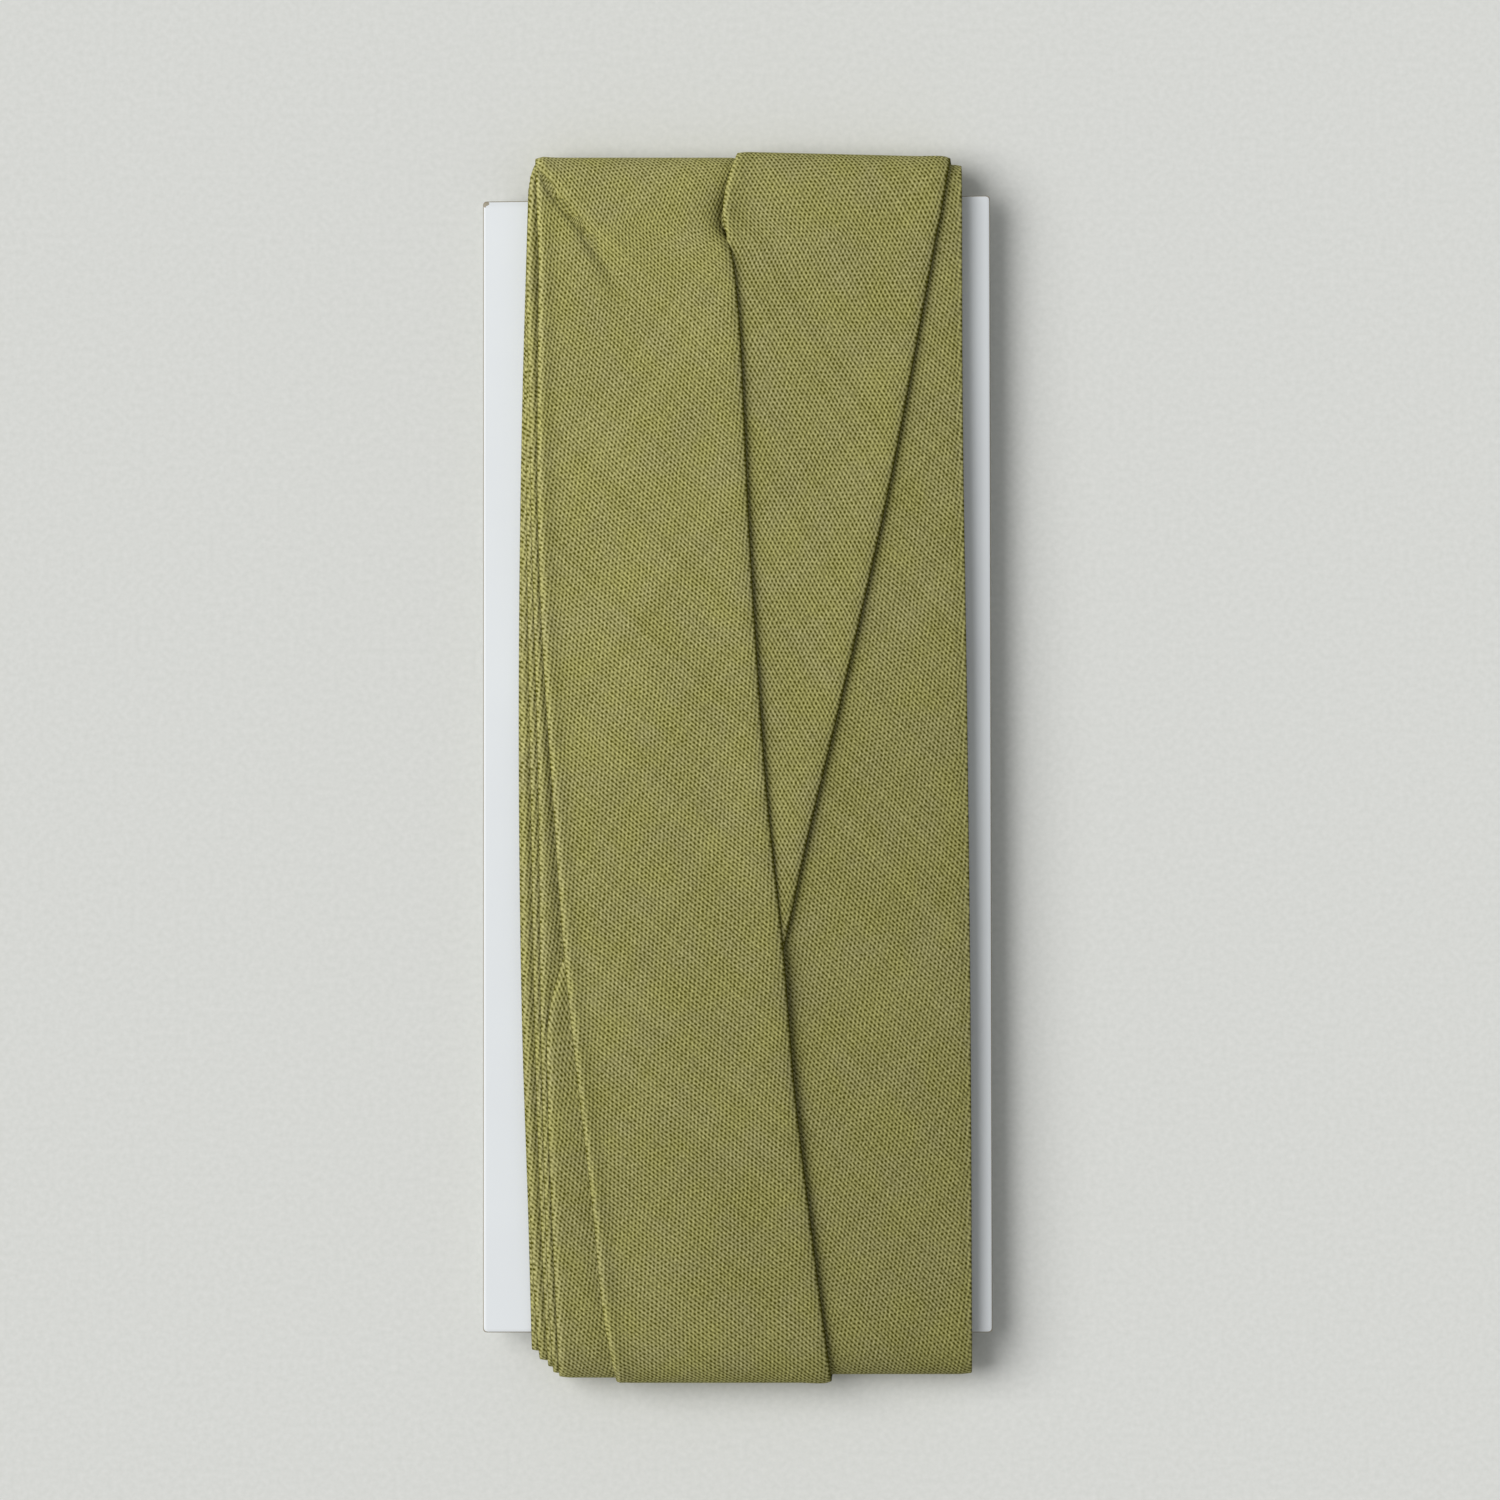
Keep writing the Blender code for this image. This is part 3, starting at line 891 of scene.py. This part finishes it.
def edge_features(tree, place):
    """The bands along the folded edges, with what each adds to the lightness: a pale band, partly rubbed
    and partly a painted highlight, and bands of painted shade.
    """
    strip = add(tree, "ShaderNodeSeparateXYZ", place)
    along = strip.node.outputs["Y"]
    # Painted shade on the right edges' rounded sides of the crossing pass and the last one.
    on_last_passes = add(tree, "ShaderNodeMath", along, RIGHT_EDGE_SHADE_FROM, operation="GREATER_THAN")
    right_edge_shade = band_share(tree, strip, RIGHT_EDGE_SHADE)
    right_edge_shade = add(tree, "ShaderNodeMath", right_edge_shade, on_last_passes, operation="MULTIPLY")
    to_a_side = add(tree, "ShaderNodeMath", strip, operation="ABSOLUTE")
    return [
        (right_edge_shade, RIGHT_EDGE_SHADE.lightness),
        *((band_share(tree, to_a_side, band), band.lightness) for band in EDGE_PALE_AND_SHADE_BANDS),
    ]


def with_painted_falloff(tree, colour):
    """The colour with painted shade, a little darker towards the right and the bottom as the light falls
    off, and the tint of the handled places.
    """
    spot = add(tree, "ShaderNodeTexCoord").node.outputs["Object"]
    # Painted shade: darker towards the right and the bottom, as the light falls off.
    slopes = (PAINTED_FALLOFF_ACROSS, PAINTED_FALLOFF_ALONG, 0.0)
    painted_falloff = add(tree, "ShaderNodeVectorMath", spot, slopes, operation="DOT_PRODUCT")
    painted_falloff = add(tree, "ShaderNodeMath", painted_falloff, 1.0, operation="ADD")
    colour = add(tree, "ShaderNodeMix", 1.0, colour, painted_falloff, data_type="RGBA", blend_type="MULTIPLY")
    handled = add(tree, "ShaderNodeTexNoise", spot, named={"Scale": HANDLED_SCALE, "Detail": 3.0})
    handled = add(tree, "ShaderNodeMapRange", handled, named=mapped(HANDLED_MIDDLE, (0.0, 1.0)))
    tint = add(tree, "ShaderNodeMix", handled, COTTON_YELLOWER, COTTON_GREYER, data_type="RGBA")
    return add(tree, "ShaderNodeMix", 1.0, colour, tint, data_type="RGBA", blend_type="MULTIPLY")


def woven_cotton():
    """Plain-woven cotton lawn, piece-dyed olive and pressed: matt, with fine pale ribs."""
    material, tree, shader = new_material("plain_woven_cotton", roughness=0.9, ior=1.45)
    place = add(tree, "ShaderNodeUVMap", uv_map="flat_strip")
    height, features = weave(tree, place)
    patches = add(tree, "ShaderNodeTexNoise", place, named={"Scale": PATCH_SCALE, "Detail": 3.0})
    tufts = add(tree, "ShaderNodeTexNoise", place, named={"Scale": TUFT_SCALE, "Detail": 1.0})
    features += [(patches, PATCH_LIGHTNESS), (tufts, TUFT_LIGHTNESS), *edge_features(tree, place)]
    lightness = BASE_LIGHTNESS
    for feature, share in features:
        lightness = add(tree, "ShaderNodeMath", feature, share, lightness, operation="MULTIPLY_ADD")
    dark, pale = linear(COTTON_DARK), linear(COTTON_PALE)
    colour = add(tree, "ShaderNodeMix", lightness, dark, pale, data_type="RGBA")
    tree.links.new(with_painted_falloff(tree, colour), shader.inputs["Base Color"])

    bump = add(tree, "ShaderNodeBump", named={"Height": height, "Distance": METRES_PER_MM})
    tree.links.new(bump, shader.inputs["Normal"])
    # Loose fibres leave cotton almost no gloss.
    shader.inputs["Specular IOR Level"].default_value = 0.08
    return material


# The card's corners, and how its coated face rolls over towards the cut edge, with the height over
# the underside and the inset of each step. Below the coat the bare pulp shows as a thin rim.
CARD_CORNERS = ((-29.8, -66.1), (29.8, -66.1), (29.5, 66.9), (-29.8, 66.2))
CARD_CORNER_RADIUS = 0.5
CARD_CORNER_STEPS = 5
CardStep = namedtuple("CardStep", "height inset")
CARD_EDGE = (
    CardStep(0.0, 0.12),
    CardStep(0.12, 0.0),
    CardStep(0.44, 0.0),
    CardStep(0.52, 0.09),
    CardStep(0.57, 0.2),
    CardStep(CARD_THICKNESS, 0.36),
)
COATED_FROM = 0.52
# The coat is worn off the top left corner, about this far from it, with a ragged rim.
WORN_CORNER = CARD_CORNERS[3]
WORN_RADIUS = 0.75
WORN_REACH = 1.4 * WORN_RADIUS

BOARD_COAT = "#f2f6f8"
BOARD_COAT_DULL = "#eaedf0"
BOARD_CORE = "#a39a86"
BOARD_CORE_DARK = "#8d836f"
PAPER_DARK = "#dedfda"
PAPER_LIGHT = "#eeeeea"
# Noise scales per metre: the fibres of the board's face and of its cut edge, about 0.4 and 0.25 mm
# apart, the clouds in its coat, 17 mm apart, and the grain of the paper, 0.7 mm apart.
FACE_FIBRE_SCALE = 2500.0
PULP_FIBRE_SCALE = 4000.0
COAT_CLOUD_SCALE = 60.0
PAPER_GRAIN_SCALE = 1500.0
FACE_RELIEF = 0.02
PULP_RELIEF = 0.1


def coated_board():
    """White-coated folding boxboard: a smooth, faintly blue face with a slight gloss."""
    material, tree, shader = new_material("coated_boxboard", roughness=0.55, ior=1.5)
    place = add(tree, "ShaderNodeTexCoord").node.outputs["Object"]
    fibres = add(tree, "ShaderNodeTexNoise", place, named={"Scale": FACE_FIBRE_SCALE, "Detail": 3.0})
    relief = FACE_RELIEF * METRES_PER_MM
    bump = add(tree, "ShaderNodeBump", named={"Height": fibres, "Strength": 0.3, "Distance": relief})
    tree.links.new(bump, shader.inputs["Normal"])
    clouds = add(tree, "ShaderNodeTexNoise", place, named={"Scale": COAT_CLOUD_SCALE, "Detail": 2.0})
    dull, clean = linear(BOARD_COAT_DULL), linear(BOARD_COAT)
    colour = add(tree, "ShaderNodeMix", clouds, dull, clean, data_type="RGBA")
    corner = [value * METRES_PER_MM for value in (*WORN_CORNER, CARD_FACE)]
    away = add(tree, "ShaderNodeVectorMath", place, corner, operation="DISTANCE").node.outputs["Value"]
    radius = WORN_RADIUS * METRES_PER_MM
    ragged = add(tree, "ShaderNodeMath", fibres, radius, away, operation="MULTIPLY_ADD")
    worn = add(tree, "ShaderNodeMath", ragged, WORN_REACH * METRES_PER_MM, operation="LESS_THAN")
    colour = add(tree, "ShaderNodeMix", worn, colour, linear(BOARD_CORE), data_type="RGBA")
    tree.links.new(colour, shader.inputs["Base Color"])
    return material


def cut_board():
    """The die-cut edge of the board: bare grey-brown pulp, matt and a little ragged."""
    material, tree, shader = new_material("cut_boxboard_pulp", roughness=0.95, ior=1.45)
    place = add(tree, "ShaderNodeTexCoord").node.outputs["Object"]
    fibres = add(tree, "ShaderNodeTexNoise", place, named={"Scale": PULP_FIBRE_SCALE, "Detail": 4.0})
    dark, light = linear(BOARD_CORE_DARK), linear(BOARD_CORE)
    colour = add(tree, "ShaderNodeMix", fibres, dark, light, data_type="RGBA")
    tree.links.new(colour, shader.inputs["Base Color"])
    bump = add(tree, "ShaderNodeBump", named={"Height": fibres, "Distance": PULP_RELIEF * METRES_PER_MM})
    tree.links.new(bump, shader.inputs["Normal"])
    return material


def matt_paper():
    """A sheet of pale matt background paper: a soft, even, faintly warm grey with a fine grain."""
    material, tree, shader = new_material("matt_background_paper", roughness=0.95, ior=1.4)
    place = add(tree, "ShaderNodeTexCoord").node.outputs["Object"]
    grain = add(tree, "ShaderNodeTexNoise", place, named={"Scale": PAPER_GRAIN_SCALE, "Detail": 2.0})
    dark, light = linear(PAPER_DARK), linear(PAPER_LIGHT)
    colour = add(tree, "ShaderNodeMix", grain, dark, light, data_type="RGBA")
    tree.links.new(colour, shader.inputs["Base Color"])
    shader.inputs["Specular IOR Level"].default_value = 0.1
    return material


def card_outline():
    """The board's outline, with slightly rounded corners, counter-clockwise seen from above."""
    points = []
    count = len(CARD_CORNERS)
    for k, corner in enumerate(CARD_CORNERS):
        here = np.array(corner)
        before = np.array(CARD_CORNERS[k - 1]) - here
        after = np.array(CARD_CORNERS[(k + 1) % count]) - here
        start = here + before / np.linalg.norm(before) * CARD_CORNER_RADIUS
        end = here + after / np.linalg.norm(after) * CARD_CORNER_RADIUS
        for step in range(CARD_CORNER_STEPS + 1):
            t = step / CARD_CORNER_STEPS
            points.append((1 - t) ** 2 * start + 2 * t * (1 - t) * here + t * t * end)
    return np.array(points)


def make_card():
    """The board, whose coated face rolls over a little towards the cut edge."""
    outline = card_outline()
    outwards = np.sign(outline - outline.mean(axis=0))
    rings = []
    for step in CARD_EDGE:
        plan = outline - outwards * step.inset
        rings.append([(x, y, CARD_UNDERSIDE + step.height) for x, y in plan])
    count = len(outline)
    points = [point for ring in rings for point in ring]
    faces = [list(reversed(range(count)))]
    coated = [True]
    for ring in range(len(rings) - 1):
        for i in range(count):
            j = (i + 1) % count
            low, high = ring * count, (ring + 1) * count
            faces.append([low + i, low + j, high + j, high + i])
            coated.append(CARD_EDGE[ring].height >= COATED_FROM)
    faces.append(list(range((len(rings) - 1) * count, len(rings) * count)))
    coated.append(True)
    mesh = bpy.data.meshes.new("card_board")
    mesh.from_pydata((np.array(points) * METRES_PER_MM).tolist(), [], faces)
    mesh.materials.append(coated_board())
    mesh.materials.append(cut_board())
    for polygon, is_coated in zip(mesh.polygons, coated):
        polygon.material_index = 0 if is_coated else 1
    mesh.shade_smooth()
    mesh.set_sharp_from_angle(angle=CARD_SHARP_ANGLE)
    card = link("card_board", mesh)
    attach(card, "root")
    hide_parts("card")


# The floor and the camera. The picture is square, and this wide at the height of the tape's face.
FLOOR_SIZE = 20000.0
PICTURE_WIDTH = 175.2
PICTURE_CENTRE = (1.43, 2.04)
PICTURE_HEIGHT = 8.7
CAMERA_DISTANCE = 2500.0
CAMERA_CLIP_END = 100000.0
SENSOR_WIDTH = 36.0

# The light comes from the left and a little from the top of the picture.
LIGHT_FROM = math.radians(168)
LIGHT_ELEVATION = math.radians(49)
LIGHT_SPREAD = math.radians(48)
LIGHT_STRENGTH = 2.22
ROOM_LIGHT = (0.97, 0.99, 1.0)
ROOM_STRENGTH = 0.33


def make_floor():
    """A large square of background paper under the part."""
    half = FLOOR_SIZE / 2 * METRES_PER_MM
    corners = [(-half, -half, 0), (half, -half, 0), (half, half, 0), (-half, half, 0)]
    mesh = bpy.data.meshes.new("floor")
    mesh.from_pydata(corners, [], [(0, 1, 2, 3)])
    mesh.materials.append(matt_paper())
    floor = link("floor", mesh)


def make_camera():
    """A camera that looks straight down, as the photograph's does."""
    data = bpy.data.cameras.new("camera")
    data.sensor_width = SENSOR_WIDTH
    data.lens = SENSOR_WIDTH * CAMERA_DISTANCE / PICTURE_WIDTH
    data.clip_end = CAMERA_CLIP_END * METRES_PER_MM
    camera = link("camera", data)
    place = (*PICTURE_CENTRE, PICTURE_HEIGHT + CAMERA_DISTANCE)
    camera.location = [value * METRES_PER_MM for value in place]
    bpy.context.scene.camera = camera


def make_light():
    """A window's broad soft light from the left, and the room's own pale light from all round."""
    data = bpy.data.lights.new("window_light", "SUN")
    data.energy = LIGHT_STRENGTH
    data.angle = LIGHT_SPREAD
    light = link("window_light", data)
    light.rotation_euler = (0.0, math.pi / 2 - LIGHT_ELEVATION, LIGHT_FROM)
    world = bpy.data.worlds.new("room_light")
    world.use_nodes = True
    background = world.node_tree.nodes["Background"]
    background.inputs["Color"].default_value = (*ROOM_LIGHT, 1.0)
    background.inputs["Strength"].default_value = ROOM_STRENGTH
    bpy.context.scene.world = world
    bpy.context.scene.view_settings.view_transform = "Standard"


def make_binding():
    """The whole tape as one wound strip."""
    mesh, length = tape_mesh(wind_tape(lay_fronts(), lay_backs()))
    mesh.materials.append(woven_cotton())
    tape = link("binding_tape", mesh)
    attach(tape, "root")
    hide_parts("binding")


make_camera()
make_light()
make_floor()
make_card()
make_binding()
